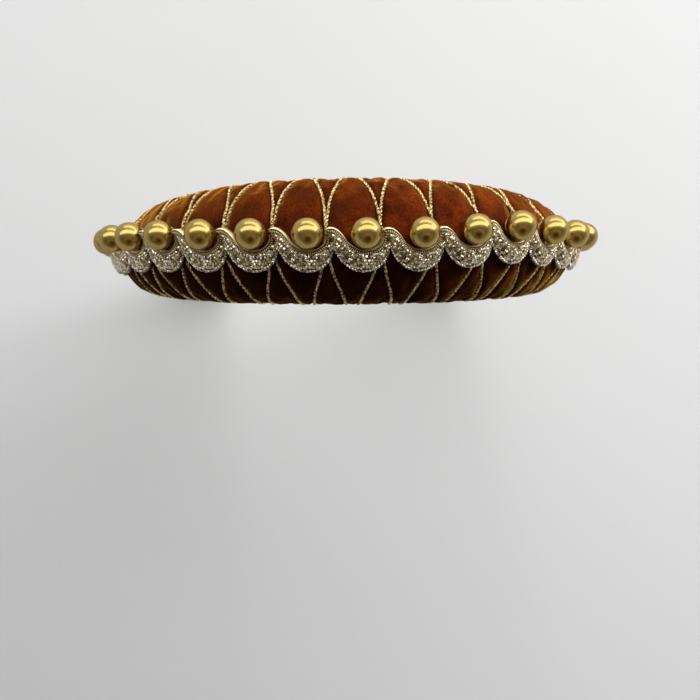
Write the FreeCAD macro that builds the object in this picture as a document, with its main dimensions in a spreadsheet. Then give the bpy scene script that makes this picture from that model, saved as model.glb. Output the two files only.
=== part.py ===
"""Padded halo headband (Alice band) with a laced cord and a jewelled pearl trim.

Worn frame, millimetres: +Z up through the crown of the band, +X towards the wearer's left,
-Y towards the face.  The origin is the centre of the round part of the band's inner face,
which is the middle of the head it grips.

The band is one bent roll.  Every layer follows the same inner curve: a half circle over
the head and, on each side, an arm that closes in a little below the widest place.
"""
import FreeCAD, Part
import math
import os

Vector = FreeCAD.Vector

DIMENSIONS = [
    ("head_radius", 75.0, "inner face of the band over the head"),
    ("arm_radius", 190.0, "inner face of each arm below the widest place"),
    ("arm_length", 82.0, "length of each arm along its inner face"),
    ("layer_gap", 0.2, "clearance between two soft layers"),
    ("lining_width", 14.0, "ribbon that lies on the head"),
    ("lining_thickness", 1.2, "ribbon with its adhesive"),
    ("core_width", 8.0, "sprung band inside the padding"),
    ("core_thickness", 1.6, "sprung band inside the padding"),
    ("core_bed", 1.1, "padding between the cover and the core"),
    ("core_end_margin", 7.0, "core stops short of the roll's end"),
    ("cover_thickness", 1.2, "velvet with its backing"),
    ("roll_thickness", 33.9, "padded roll at the crown, away from the head"),
    ("roll_height", 50.0, "padded roll at the crown, front to back"),
    ("tip_thickness", 9.0, "padded roll at its ends, away from the head"),
    ("tip_height", 18.0, "padded roll at its ends, front to back"),
    ("thickness_fullness", 1.31, "how long the roll stays thick"),
    ("height_fullness", 1.08, "how long the roll stays tall"),
    ("foam_end_margin", 4.0, "padding stops short of the cover's end"),
    ("tip_cover_length", 22.0, "part of the roll that an end cover holds"),
    ("tip_cover_wall", 1.0, "end cover"),
    ("tip_cover_nose", 5.0, "rounded nose of an end cover"),
    ("lining_end_margin", 24.5, "lining stops before the end covers"),
    ("cord_diameter", 1.4, "twisted metallic cord"),
    ("cord_corners", 10, "corners of the cord's route in each turn"),
    ("crossing_lift", 1.28, "corner of a crossing, over the height it needs"),
    ("crossing_shift", 0.29, "crossing beyond its pearl, in links"),
    ("crossing_rise", 3.0, "crossing above the pearls"),
    ("cord_turns_left", 11, "turns of each cord left of the crown"),
    ("cord_turns_right", 10, "turns of each cord right of the crown"),
    ("link_count", 17, "links of the trim, an odd count"),
    ("link_pitch", 22.2, "from pearl to pearl"),
    ("trim_rise", 0.9, "pearls above the middle of the roll at the crown"),
    ("trim_side_rise", 4.6, "further rise at the two ends of the trim"),
    ("wander_rise", 2.8, "one place where the hand sewing runs high"),
    ("wander_place", 3.0, "that place, in links from the crown"),
    ("wander_reach", 1.2, "half length of that place, in links"),
    ("trim_clearance", 0.2, "trim above the crossing cords"),
    ("pearl_diameter", 12.0, "simulated pearl"),
    ("seat_ring_radius", 4.0, "ring that a pearl sits in"),
    ("seat_hole_radius", 3.1, "opening of that ring"),
    ("seat_thickness", 0.8, "ring and its bridge"),
    ("bridge_width", 2.0, "bar from the ring to the crescent"),
    ("cradle_radius", 7.0, "inner edge of a crescent, round its pearl"),
    ("cradle_right", 0.2, "centre of that edge from the pearl"),
    ("cradle_drop", 0.9, "centre of that edge below the pearl"),
    ("belly_radius", 9.6, "outer edge of a crescent"),
    ("belly_left", 0.8, "centre of that edge from the pearl"),
    ("belly_drop", 5.6, "centre of that edge below the pearl"),
    ("tail_radius", 6.8, "rounded back of a link's tail"),
    ("tail_left", 13.2, "centre of that back from the pearl"),
    ("tail_drop", 4.2, "centre of that back below the pearl"),
    ("tail_end_left", 14.15, "where the tail stops, from the pearl"),
    ("tail_lean", 20.0, "degrees that the tail's end face leans"),
    ("plate_thickness", 2.2, "crescent with its rim"),
    ("rim_width", 0.55, "raised rim round the stones"),
    ("rim_height", 0.7, "rim above the stones' bed"),
    ("stone_diameter", 1.35, "pave stone"),
    ("stone_pitch", 1.45, "from stone to stone along a row"),
    ("stone_table", 0.6, "flat top of a stone, over its width"),
    ("stone_height", 0.95, "stone above its bed"),
    ("stone_rows", 4, "rows of stones across the crescent, two or more"),
    ("shank_diameter", 1.6, "sewn thread shank under each link"),
    ("shank_inset", 0.15, "clearance at each end of a shank"),
]

document = FreeCAD.newDocument("HaloHeadband")
sheet = document.addObject("Spreadsheet::Sheet", "sizes")
for row, (alias, value, meaning) in enumerate(DIMENSIONS, start=1):
    sheet.set("A%d" % row, alias)
    sheet.set("B%d" % row, str(value))
    sheet.set("C%d" % row, meaning)
    sheet.setAlias("B%d" % row, alias)
document.recompute()


def size(alias):
    """Read one driving dimension from the sheet."""
    return float(sheet.get(alias))


# ---------------------------------------------------------------- the shared inner curve

HEAD_RADIUS = size("head_radius")
ARM_RADIUS = size("arm_radius")
QUARTER = HEAD_RADIUS * math.pi / 2
HALF_LENGTH = QUARTER + size("arm_length")
GAP = size("layer_gap")
CORD = size("cord_diameter")
HALF_LINKS = (int(size("link_count")) - 1) // 2
PEARL_RADIUS = size("pearl_diameter") / 2

# two crossing cords and their clearances pass under the lining and under the trim
CROSSING_HEIGHT = 2 * CORD + 4 * GAP
ROLL_STANDOFF = size("lining_thickness") + CROSSING_HEIGHT
PEARL_STANDOFF = CROSSING_HEIGHT + size("trim_clearance") + GAP + PEARL_RADIUS


def curve_frame(length):
    """Point, tangent and outward normal of the inner curve, length from the crown."""
    side = -1.0 if length < 0 else 1.0
    run = abs(length)
    if run <= QUARTER:
        angle = run / HEAD_RADIUS
        x = HEAD_RADIUS * math.sin(angle)
        z = HEAD_RADIUS * math.cos(angle)
    else:
        turn = (run - QUARTER) / ARM_RADIUS
        angle = math.pi / 2 + turn
        x = HEAD_RADIUS - ARM_RADIUS + ARM_RADIUS * math.cos(turn)
        z = -ARM_RADIUS * math.sin(turn)
    point = Vector(side * x, 0, z)
    normal = Vector(side * math.sin(angle), 0, math.cos(angle))
    tangent = Vector(math.cos(angle), 0, -side * math.sin(angle))
    return point, tangent, normal


def swell(length, crown, tip, fullness):
    """A size that fades from its crown value to its value at the ends."""
    reach = min(abs(length) / HALF_LENGTH, 1.0)
    return tip + (crown - tip) * math.cos(math.pi / 2 * reach ** fullness) ** 2


def roll_thickness(length):
    return swell(length, size("roll_thickness"), size("tip_thickness"), size("thickness_fullness"))


def roll_height(length):
    return swell(length, size("roll_height"), size("tip_height"), size("height_fullness"))


def roll_point(length, angle, grow=0.0, stretch=1.0):
    """A point round the roll: angle 0 faces away from the head and 90 degrees faces +Y."""
    point, _, normal = curve_frame(length)
    half_out = (roll_thickness(length) / 2 + grow) * stretch
    half_tall = (roll_height(length) / 2 + grow) * stretch
    middle = ROLL_STANDOFF + roll_thickness(length) / 2
    out = middle + half_out * math.cos(angle)
    return point + normal * out + Vector(0, half_tall * math.sin(angle), 0)


def roll_section(length, grow=0.0, scale=1.0):
    """Closed oval wire round the roll at one place along it."""
    point, tangent, normal = curve_frame(length)
    middle = point + normal * (ROLL_STANDOFF + roll_thickness(length) / 2)
    half_out = (roll_thickness(length) / 2 + grow) * scale
    half_tall = (roll_height(length) / 2 + grow) * scale
    across = Vector(0, 1, 0)
    matrix = FreeCAD.Matrix(
        half_out * normal.x, half_tall * across.x, tangent.x, middle.x,
        half_out * normal.y, half_tall * across.y, tangent.y, middle.y,
        half_out * normal.z, half_tall * across.z, tangent.z, middle.z,
        0, 0, 0, 1)
    circle = Part.Wire([Part.Circle(Vector(0, 0, 0), Vector(0, 0, 1), 1).toShape()])
    return circle.transformGeometry(matrix)


def roll_sections(start, end, grow=0.0, spacing=8.0):
    """Oval wires along the roll; a loft through them is exact when the runs come in threes."""
    count = 3 * int(math.ceil(abs(end - start) / spacing / 3))
    stations = [start + (end - start) * i / count for i in range(count + 1)]
    return [roll_section(station, grow) for station in stations]


def sewn_solid(faces):
    """One closed solid from faces that share their edges."""
    sewn = Part.Compound(faces)
    sewn.sewShape()
    solid = Part.Solid(sewn.Shells[0])
    if solid.Volume < 0:
        solid.reverse()
    return solid


def end_face(outer, inner):
    """Flat end of a hollow part, between its outer wire and its inner wire."""
    return Part.Face(outer).cut(Part.Face(inner)).Faces[0]


def skin(wires):
    """Open side surface through a row of closed wires."""
    return Part.makeLoft(wires, False, False).Faces


def soft_part(label, shape):
    """Add a freeform soft layer to the document."""
    feature = document.addObject("Part::Feature", label)
    feature.Label = label
    feature.Shape = shape
    feature.Placement = FreeCAD.Placement()
    return feature


# ---------------------------------------------------------------- flat bands on the curve

def curve_point(length, out):
    point, _, normal = curve_frame(length)
    return point + normal * out


def band_face(inner_out, thickness, half_length):
    """Face in the XZ plane between two offsets of the inner curve."""
    def run(out, places):
        edges = []
        for first, last in zip(places, places[1:]):
            middle = (first + last) / 2
            arc = Part.Arc(curve_point(first, out), curve_point(middle, out), curve_point(last, out))
            edges.append(arc.toShape())
        return edges
    places = [-half_length, -QUARTER, QUARTER, half_length]
    outer_out = inner_out + thickness
    inner = run(inner_out, places)
    outer = run(outer_out, places)
    ends = [Part.LineSegment(curve_point(place, inner_out), curve_point(place, outer_out)).toShape()
            for place in (-half_length, half_length)]
    return Part.Face(Part.Wire(Part.__sortEdges__(inner + outer + ends)))


def flat_band(label, inner_out, thickness, half_length, width_alias):
    """A strip of constant width that follows the inner curve, as an extruded face."""
    profile = document.addObject("Part::Feature", label + "_profile")
    profile.Shape = band_face(inner_out, thickness, half_length)
    band = document.addObject("Part::Extrusion", label)
    band.Label = label
    band.Base = profile
    band.DirMode = "Custom"
    band.Dir = Vector(0, 1, 0)
    band.Symmetric = True
    band.Solid = True
    band.setExpression("LengthFwd", "sizes.%s" % width_alias)
    return band


core_offset = ROLL_STANDOFF + size("cover_thickness") + GAP + size("core_bed")
core_band = flat_band("core_band", core_offset, size("core_thickness"),
                      HALF_LENGTH - size("core_end_margin"), "core_width")
lining_ribbon = flat_band("lining_ribbon", 0.0, size("lining_thickness"),
                          HALF_LENGTH - size("lining_end_margin"), "lining_width")


# ---------------------------------------------------------------- padding, cover and ends

def make_velvet_cover():
    """The sewn velvet tube, open at both ends."""
    outside = roll_sections(-HALF_LENGTH, HALF_LENGTH)
    inside = roll_sections(-HALF_LENGTH, HALF_LENGTH, -size("cover_thickness"))
    ends = [end_face(outside[i], inside[i]) for i in (0, -1)]
    return soft_part("velvet_cover", sewn_solid(skin(outside) + skin(inside) + ends))


def make_foam_roll():
    """The padding, with a slot that holds the core."""
    half = HALF_LENGTH - size("foam_end_margin")
    outside = roll_sections(-half, half, -size("cover_thickness") - GAP)
    slot_face = band_face(core_offset - GAP, size("core_thickness") + 2 * GAP, half)
    slot_width = size("core_width") + 2 * GAP
    slot = slot_face.extrude(Vector(0, slot_width, 0))
    slot.translate(Vector(0, -slot_width / 2, 0))
    slot_ends = [curve_point(side * half, core_offset + size("core_thickness") / 2) for side in (-1, 1)]
    walls = []
    mouths = []
    for face in slot.Faces:
        if min(face.CenterOfMass.sub(end).Length for end in slot_ends) < size("core_thickness"):
            mouths.append(face.OuterWire)
        else:
            walls.append(face)
    mouths.sort(key=lambda wire: wire.CenterOfMass.x)
    ends = [end_face(outside[i], mouths[i]) for i in (0, -1)]
    return soft_part("foam_roll", sewn_solid(skin(outside) + walls + ends))


# places along a nose, over its length, where its rounding has a section
NOSE_STEPS = (0.25, 0.5, 0.7, 0.85, 0.94, 0.985)


def make_tip_cover(label, side):
    """A closed pocket over one end of the roll."""
    wall = size("tip_cover_wall")
    nose = size("tip_cover_nose")
    mouth = HALF_LENGTH - size("tip_cover_length")
    bottom = HALF_LENGTH + GAP
    outside = roll_sections(side * mouth, side * HALF_LENGTH, GAP + wall)
    rounding = [outside[-1]]
    for fraction in NOSE_STEPS:
        scale = math.sqrt(1 - fraction ** 2)
        rounding.append(roll_section(side * (HALF_LENGTH + nose * fraction), GAP + wall, scale))
    inside = roll_sections(side * mouth, side * bottom, GAP)
    faces = skin(outside) + skin(rounding) + skin(inside)
    faces += [end_face(outside[0], inside[0]), Part.Face(rounding[-1]), Part.Face(inside[-1])]
    return soft_part(label, sewn_solid(faces))


velvet_cover = make_velvet_cover()
foam_roll = make_foam_roll()
tip_cover_right = make_tip_cover("tip_cover_right", 1)
tip_cover_left = make_tip_cover("tip_cover_left", -1)


# ---------------------------------------------------------------- the trim's own line

def trim_table(step=1.0):
    """Length along the inner curve against length along the line of pearls."""
    table = [(0.0, 0.0)]
    length = 0.0
    travelled = 0.0

    def pearl_line(place):
        return curve_point(place, ROLL_STANDOFF + roll_thickness(place) + PEARL_STANDOFF)

    while length < HALF_LENGTH:
        travelled += pearl_line(length + step).sub(pearl_line(length)).Length
        length += step
        table.append((length, travelled))
    return table


TRIM_TABLE = trim_table()


def place_of_link(index):
    """Length along the inner curve of link number index, counted from the crown."""
    wanted = abs(index) * size("link_pitch")
    side = -1 if index < 0 else 1
    for (length_a, trim_a), (length_b, trim_b) in zip(TRIM_TABLE, TRIM_TABLE[1:]):
        if trim_b >= wanted:
            return side * (length_a + (length_b - length_a) * (wanted - trim_a) / (trim_b - trim_a))
    return side * HALF_LENGTH


def trim_height(index):
    """Height of the pearls along +Y: a sewn line that rises to the sides and wanders once."""
    reach = min(abs(index) / HALF_LINKS, 1.0)
    sides = size("trim_side_rise") * math.sin(math.pi / 2 * reach) ** 2
    offset = (index - size("wander_place")) / size("wander_reach")
    return size("trim_rise") + sides + size("wander_rise") * math.exp(-offset ** 2)


# ---------------------------------------------------------------- cords

# share of a straight run that the bend at its end takes up
ROUNDING = 0.45
# highest a crossing goes, over half the roll's height
HIGHEST_CROSSING = 0.6
CORD_SEAT = CORD / 2 + GAP


def cord_corners(direction, over):
    """Corners of one cord's route round the roll, turn after turn."""
    per_turn = int(size("cord_corners"))
    turns_left = int(size("cord_turns_left"))
    turns = turns_left + int(size("cord_turns_right"))
    spread = 1 / math.cos(math.pi / per_turn)
    lift = (CORD + GAP) * size("crossing_lift")
    corners = []
    for step in range(turns * per_turn + 1):
        turn = step / per_turn - turns_left
        link = turn + size("crossing_shift")
        length = place_of_link(link)
        crossing_height = trim_height(link) + size("crossing_rise")
        start = math.asin(min(HIGHEST_CROSSING, 2 * crossing_height / roll_height(length)))
        angle = start + direction * 2 * math.pi * turn
        crossing = over and step % (per_turn // 2) == 0
        grow = CORD_SEAT + (lift if crossing else 0.0)
        corners.append(roll_point(length, angle, grow, spread))
    return corners


def tube(corners, radius):
    """Round tube along straight runs joined by tangent arcs, sewn into one solid."""
    directions = [(b - a).normalize() for a, b in zip(corners, corners[1:])]
    runs = [(b - a).Length for a, b in zip(corners, corners[1:])]
    edge = Part.Circle(corners[0], directions[0], radius).toShape()
    faces = [Part.Face(Part.Wire([edge]))]
    position = corners[0]
    for i, corner in enumerate(corners[1:], start=1):
        last = i == len(corners) - 1
        if last:
            travel = corner - position
        else:
            cut = ROUNDING * min(runs[i - 1], runs[i])
            travel = corner - directions[i - 1] * cut - position
        faces.append(edge.extrude(travel))
        edge = edge.translated(travel)
        position = position + travel
        if last:
            break
        turn = directions[i - 1].getAngle(directions[i])
        axis = directions[i - 1].cross(directions[i]).normalize()
        toward = axis.cross(directions[i - 1]).normalize()
        centre = position + toward * (cut / math.tan(turn / 2))
        faces.append(edge.revolve(centre, axis, math.degrees(turn)))
        edge = edge.rotated(centre, axis, math.degrees(turn))
        position = corner + directions[i] * cut
    faces.append(Part.Face(Part.Wire([edge])))
    return sewn_solid([face for shape in faces for face in shape.Faces])


cord_wrap_clockwise = soft_part("cord_wrap_clockwise", tube(cord_corners(1, False), CORD / 2))
cord_wrap_anticlockwise = soft_part("cord_wrap_anticlockwise", tube(cord_corners(-1, True), CORD / 2))


# ---------------------------------------------------------------- one link, laid flat

def disc(name, radius, x, y, thickness, z="0"):
    """Round disc bound to the sheet; x, y, radius, thickness and z are expressions."""
    part = document.addObject("Part::Cylinder", name)
    part.setExpression("Radius", radius)
    part.setExpression("Height", thickness)
    part.setExpression("Placement.Base.x", x)
    part.setExpression("Placement.Base.y", y)
    part.setExpression("Placement.Base.z", z)
    return part


def boolean(kind, name, base, tool):
    part = document.addObject("Part::" + kind, name)
    part.Base = base
    part.Tool = tool
    return part


def tail_block(name, inset, thickness, z):
    """Leaning block that keeps only the tail's side of the tail disc."""
    block = document.addObject("Part::Box", name)
    block.setExpression("Length", "2 * sizes.tail_radius")
    block.setExpression("Width", "2 * sizes.tail_radius")
    block.setExpression("Height", thickness)
    block.setExpression("Placement.Base.x", "-sizes.tail_end_left + %s" % inset)
    block.setExpression("Placement.Base.y", "sizes.tail_radius - sizes.tail_drop")
    block.setExpression("Placement.Base.z", z)
    block.Placement.Rotation = FreeCAD.Rotation(Vector(0, 0, 1), 0)
    block.setExpression("Placement.Rotation.Angle", "sizes.tail_lean - 90")
    return block


def crescent(name, inset, thickness, z="0"):
    """Crescent with its tail, drawn in by inset on every side."""
    belly = disc(name + "_belly", "sizes.belly_radius - %s" % inset, "-sizes.belly_left",
                 "-sizes.belly_drop", thickness, z)
    tail = disc(name + "_tail", "sizes.tail_radius - %s" % inset, "-sizes.tail_left",
                "-sizes.tail_drop", thickness, z)
    block = tail_block(name + "_tail_side", inset, thickness, z)
    tail_piece = boolean("Common", name + "_tail_piece", tail, block)
    whole = boolean("Fuse", name + "_whole", belly, tail_piece)
    cradle = disc(name + "_cradle", "sizes.cradle_radius + %s" % inset, "sizes.cradle_right",
                  "-sizes.cradle_drop", thickness, z)
    return boolean("Cut", name + "_shape", whole, cradle)


def make_link_pattern():
    """Cast crescent, its bridge and its pearl ring; the pearl's centre is over the origin."""
    plate = crescent("plate", "0", "sizes.plate_thickness")
    bed = crescent("bed", "sizes.rim_width", "sizes.plate_thickness",
                   "sizes.plate_thickness - sizes.rim_height")
    tray = boolean("Cut", "tray", plate, bed)
    ring = disc("ring", "sizes.seat_ring_radius", "0", "0", "sizes.seat_thickness")
    bridge = document.addObject("Part::Box", "bridge")
    bridge.setExpression("Length", "sizes.bridge_width")
    bridge.setExpression("Width", "sizes.cradle_drop + sizes.cradle_radius + sizes.rim_width")
    bridge.setExpression("Height", "sizes.seat_thickness")
    bridge.setExpression("Placement.Base.x", "-sizes.bridge_width / 2")
    bridge.setExpression("Placement.Base.y",
                         "-sizes.cradle_drop - sizes.cradle_radius - sizes.rim_width")
    spine = boolean("Fuse", "spine", ring, bridge)
    hole = disc("ring_hole", "sizes.seat_hole_radius", "0", "0", "sizes.seat_thickness")
    seat = boolean("Cut", "seat", spine, hole)
    return boolean("Fuse", "link_pattern", tray, seat)


def stone_places():
    """Centres of the stones on the bed, in rows between the cradle and the belly."""
    cradle = Vector(size("cradle_right"), -size("cradle_drop"), 0)
    belly = Vector(-size("belly_left"), -size("belly_drop"), 0)
    rows = int(size("stone_rows"))
    margin = size("rim_width") + size("stone_diameter") / 2 + GAP
    places = []

    def on_bed(spot):
        from_cradle = spot.sub(cradle).Length - size("cradle_radius")
        from_belly = size("belly_radius") - spot.sub(belly).Length
        return min(from_cradle, from_belly) > margin - GAP / 2

    width = size("belly_radius") - size("cradle_radius") + (cradle - belly).Length
    for row in range(rows):
        share = (margin + (width - 2 * margin) * row / (rows - 1)) / width
        centre = cradle + (belly - cradle) * share
        radius = size("cradle_radius") + (size("belly_radius") - size("cradle_radius")) * share
        count = int(2 * math.pi * radius / size("stone_pitch"))
        for i in range(count):
            angle = -math.pi / 2 + 2 * math.pi * i / count
            spot = centre + Vector(radius * math.cos(angle), radius * math.sin(angle), 0)
            clear = all(spot.sub(other).Length > size("stone_diameter") for other in places)
            if on_bed(spot) and clear:
                places.append(spot)
    return places


def make_stone_pattern():
    """All stones of one link, as separate cut stones standing on its bed."""
    stones = []
    for number, spot in enumerate(stone_places(), start=1):
        stone = document.addObject("Part::Cone", "stone_%02d" % number)
        stone.setExpression("Radius1", "sizes.stone_diameter / 2")
        stone.setExpression("Radius2", "sizes.stone_diameter / 2 * sizes.stone_table")
        stone.setExpression("Height", "sizes.stone_height")
        stone.Placement.Base = spot
        stone.setExpression("Placement.Base.z", "sizes.plate_thickness - sizes.rim_height")
        stones.append(stone)
    pattern = document.addObject("Part::Compound", "stone_pattern")
    pattern.Links = stones
    return pattern


link_pattern = make_link_pattern()
stone_pattern = make_stone_pattern()
document.recompute()


# ---------------------------------------------------------------- the trim on the roll

# furthest that a link's seat goes from the middle, over half the roll's height
FURTHEST_SEAT = 0.7


def link_placement(index):
    """Place a flat link so that its pearl's centre lies on the line of pearls."""
    length = place_of_link(index)
    point, tangent, normal = curve_frame(length)
    half_out = roll_thickness(length) / 2
    half_tall = roll_height(length) / 2
    height = trim_height(index)
    seat = (height - size("cradle_radius")) / half_tall
    seat = max(-FURTHEST_SEAT, min(FURTHEST_SEAT, seat))
    lean = math.atan(half_out / half_tall * math.tan(math.asin(seat)))
    up = Vector(0, 1, 0)
    climb = (trim_height(index + 0.5) - trim_height(index - 0.5)) / size("link_pitch")
    rotation = FreeCAD.Rotation(tangent, up, normal, "ZXY")
    rotation = FreeCAD.Rotation(normal, math.degrees(math.atan(climb))).multiply(rotation)
    rotation = FreeCAD.Rotation(tangent, -math.degrees(lean)).multiply(rotation)
    out = ROLL_STANDOFF + roll_thickness(length) + PEARL_STANDOFF
    centre = point + normal * out + up * height
    foot = rotation.multVec(Vector(0, 0, -PEARL_RADIUS - GAP))
    return FreeCAD.Placement(centre + foot, rotation)


def placed_copy(label, pattern, placement):
    feature = document.addObject("Part::Feature", label)
    feature.Label = label
    feature.Shape = pattern.Shape.copy()
    feature.Placement = placement
    return feature


def make_pearl(label, placement):
    pearl = document.addObject("Part::Sphere", label)
    pearl.Label = label
    pearl.setExpression("Radius", "sizes.pearl_diameter / 2")
    pearl.Placement = placement.multiply(
        FreeCAD.Placement(Vector(0, 0, PEARL_RADIUS + GAP), FreeCAD.Rotation()))
    return pearl


trim_nodes = []
placements = []
for number, index in enumerate(range(-HALF_LINKS, HALF_LINKS + 1), start=1):
    placement = link_placement(index)
    placements.append((index, placement))
    trim_nodes.append(placed_copy("link_%02d" % number, link_pattern, placement))
    trim_nodes.append(placed_copy("stones_%02d" % number, stone_pattern, placement))
    trim_nodes.append(make_pearl("pearl_%02d" % number, placement))


# ---------------------------------------------------------------- hand stitches

def needle_depth(index, start, direction):
    """How far a needle goes from a point beside link number index to the velvet."""
    length = place_of_link(index)
    point, _, normal = curve_frame(length)
    half_out = roll_thickness(length) / 2
    half_tall = roll_height(length) / 2
    offset = start - point - normal * (ROLL_STANDOFF + half_out)
    # the oval is a unit circle in these scaled coordinates
    start_out, start_up = offset.dot(normal) / half_out, offset.y / half_tall
    step_out, step_up = direction.dot(normal) / half_out, direction.y / half_tall
    a = step_out ** 2 + step_up ** 2
    b = start_out * step_out + start_up * step_up
    c = start_out ** 2 + start_up ** 2 - 1
    return (-b - math.sqrt(b * b - a * c)) / a


def make_stitches():
    """A thread shank from the velvet to each link's bridge."""
    inset = size("shank_inset")
    radius = size("shank_diameter") / 2
    shanks = []
    for index, placement in placements:
        foot = placement.multVec(Vector(0, -size("seat_ring_radius") - radius, -inset))
        inward = placement.Rotation.multVec(Vector(0, 0, -1))
        edge = min(needle_depth(index, foot + placement.Rotation.multVec(Vector(0, side * radius, 0)),
                                inward) for side in (-1, 1))
        shanks.append(Part.makeCylinder(radius, edge - inset, foot, inward))
    return soft_part("hand_stitches", Part.makeCompound(shanks))


hand_stitches = make_stitches()
document.recompute()

# ---------------------------------------------------------------- check and write

nodes = [core_band, foam_roll, velvet_cover, lining_ribbon, tip_cover_left, tip_cover_right,
         cord_wrap_clockwise, cord_wrap_anticlockwise, hand_stitches] + trim_nodes

for item in document.Objects:
    if "Invalid" in item.State or "Error" in item.State:
        raise RuntimeError("%s failed to build: %s" % (item.Name, item.State))
for node in nodes:
    if node.Shape.isNull() or not node.Shape.isValid():
        raise RuntimeError("%s has no valid shape" % node.Label)

os.makedirs("parts", exist_ok=True)
for node in nodes:
    node.Shape.exportStep("parts/%s.step" % node.Label)
    print("%-26s solids %3d  volume %10.1f" % (node.Label, len(node.Shape.Solids), node.Shape.Volume))
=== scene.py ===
"""Looks of the padded halo headband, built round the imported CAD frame.

Sizes are in millimetres and repeat the driving values of the part; meshes are made in metres.
Worn frame: +Z up through the crown, +X towards the wearer's left, -Y towards the face.
"""
import math

import bmesh
import bpy
import numpy as np
from mathutils import Matrix, Vector


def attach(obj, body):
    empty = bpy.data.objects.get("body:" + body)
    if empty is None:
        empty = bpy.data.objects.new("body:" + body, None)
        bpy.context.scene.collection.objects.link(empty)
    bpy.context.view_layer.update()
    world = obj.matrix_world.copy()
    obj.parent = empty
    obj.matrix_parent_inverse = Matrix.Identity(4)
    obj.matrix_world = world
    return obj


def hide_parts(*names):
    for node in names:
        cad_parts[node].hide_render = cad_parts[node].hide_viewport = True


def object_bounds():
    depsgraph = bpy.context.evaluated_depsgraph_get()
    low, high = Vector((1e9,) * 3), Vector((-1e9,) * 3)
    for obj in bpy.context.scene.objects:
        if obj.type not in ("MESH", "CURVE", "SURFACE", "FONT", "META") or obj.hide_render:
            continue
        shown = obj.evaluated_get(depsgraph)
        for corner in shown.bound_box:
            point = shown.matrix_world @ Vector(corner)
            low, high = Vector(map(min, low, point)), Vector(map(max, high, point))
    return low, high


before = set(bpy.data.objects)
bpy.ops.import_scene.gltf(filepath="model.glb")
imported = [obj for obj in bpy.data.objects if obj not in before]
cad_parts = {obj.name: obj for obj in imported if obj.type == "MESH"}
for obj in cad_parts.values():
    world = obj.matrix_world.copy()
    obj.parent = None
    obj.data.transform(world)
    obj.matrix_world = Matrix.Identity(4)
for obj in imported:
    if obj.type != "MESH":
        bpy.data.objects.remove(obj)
CAD_BOX = [list(corner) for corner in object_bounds()]
MM = 0.001

# -------------------- sizes shared with the part
HEAD_RADIUS = 75.0
ARM_RADIUS = 190.0
ARM_LENGTH = 82.0
GAP = 0.2
LINING_THICKNESS = 1.2
LINING_END_MARGIN = 24.5
ROLL_THICKNESS, TIP_THICKNESS, THICKNESS_FULLNESS = 33.9, 9.0, 1.31
ROLL_HEIGHT, TIP_HEIGHT, HEIGHT_FULLNESS = 50.0, 18.0, 1.08
TIP_COVER_LENGTH, TIP_COVER_WALL, TIP_COVER_NOSE = 22.0, 1.0, 5.0
CORD = 1.4
CROSSING_SHIFT = 0.29
CROSSING_RISE = 2.4
TURNS_LEFT, TURNS_RIGHT = 11, 10
LINK_PITCH = 22.2
HALF_LINKS = 8
TRIM_RISE, TRIM_SIDE_RISE = 0.9, 4.6
WANDER_RISE, WANDER_PLACE, WANDER_REACH = 2.8, 3.0, 1.2
PEARL_RADIUS = 6.0
CRADLE_RADIUS = 7.0

QUARTER = HEAD_RADIUS * math.pi / 2
HALF_LENGTH = QUARTER + ARM_LENGTH
OPEN_LENGTH = HALF_LENGTH - TIP_COVER_LENGTH  # from the crown to an end cover's mouth
CROSSING_HEIGHT = 2 * CORD + 4 * GAP
ROLL_STANDOFF = LINING_THICKNESS + CROSSING_HEIGHT
PEARL_STANDOFF = CROSSING_HEIGHT + 2 * GAP + PEARL_RADIUS

# -------------------- looks of the soft parts
TRIM_PRESS = 3.2  # velvet stands out to the trim's back
TRIM_PRESS_REACH = 13.0
TRIM_MIDDLE = 5.0  # how far the middle of the trim lies below its pearls
LINING_PRESS = 3.0  # velvet stands in to the lining's back
LINING_PRESS_REACH = 9.5
OUTER_BLEND, INNER_BLEND, INNER_FROM = 8, 12, 0.45
GROOVE = 0.8  # velvet pulled in under a cord
GROOVE_REACH = 1.1
DEEPEST = 1.5  # share of GROOVE where two cords meet
CALM_INSIDE, CALM_REACH = 4.0, 10.0
FAR = 50.0  # distance noted where a cord doesn't reach
EVEN_ADVANCE = 0.6  # share of a cord's advance that is even round the roll
WAIST = 0.33  # half turn share over which crossing cords stay together
STACK = 1.5  # between the centres of cords that lie on each other
UPPER_SHARE = 0.72  # how much of that the upper cord rises
HIGHEST_CROSSING = 0.6  # sine of the furthest angle at which the cords cross
FURTHEST_SEAT = 0.7  # sine of the furthest angle at which a pearl sits
FADE = 12.0  # length over which the presses fade towards an end cover


# -------------------- the shared inner curve
def curve_frame(length):
    """Point, tangent and outward normal of the inner curve, for an array of lengths."""
    length = np.asarray(length, float)
    side = np.where(length < 0, -1.0, 1.0)
    run = np.abs(length)
    turn = np.maximum(run - QUARTER, 0) / ARM_RADIUS
    angle = np.where(run > QUARTER, np.pi / 2 + turn, run / HEAD_RADIUS)
    x = np.where(run > QUARTER, HEAD_RADIUS - ARM_RADIUS + ARM_RADIUS * np.cos(turn),
                 HEAD_RADIUS * np.sin(angle))
    z = np.where(run > QUARTER, -ARM_RADIUS * np.sin(turn), HEAD_RADIUS * np.cos(angle))
    nought = np.zeros_like(x)
    point = np.stack([side * x, nought, z], -1)
    normal = np.stack([side * np.sin(angle), nought, np.cos(angle)], -1)
    tangent = np.stack([np.cos(angle), nought, -side * np.sin(angle)], -1)
    return point, tangent, normal


def lengths_along(path):
    """Length along a row of points, up to each of them."""
    return np.concatenate([[0], np.cumsum(np.linalg.norm(np.diff(path, axis=0), axis=1))])


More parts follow.
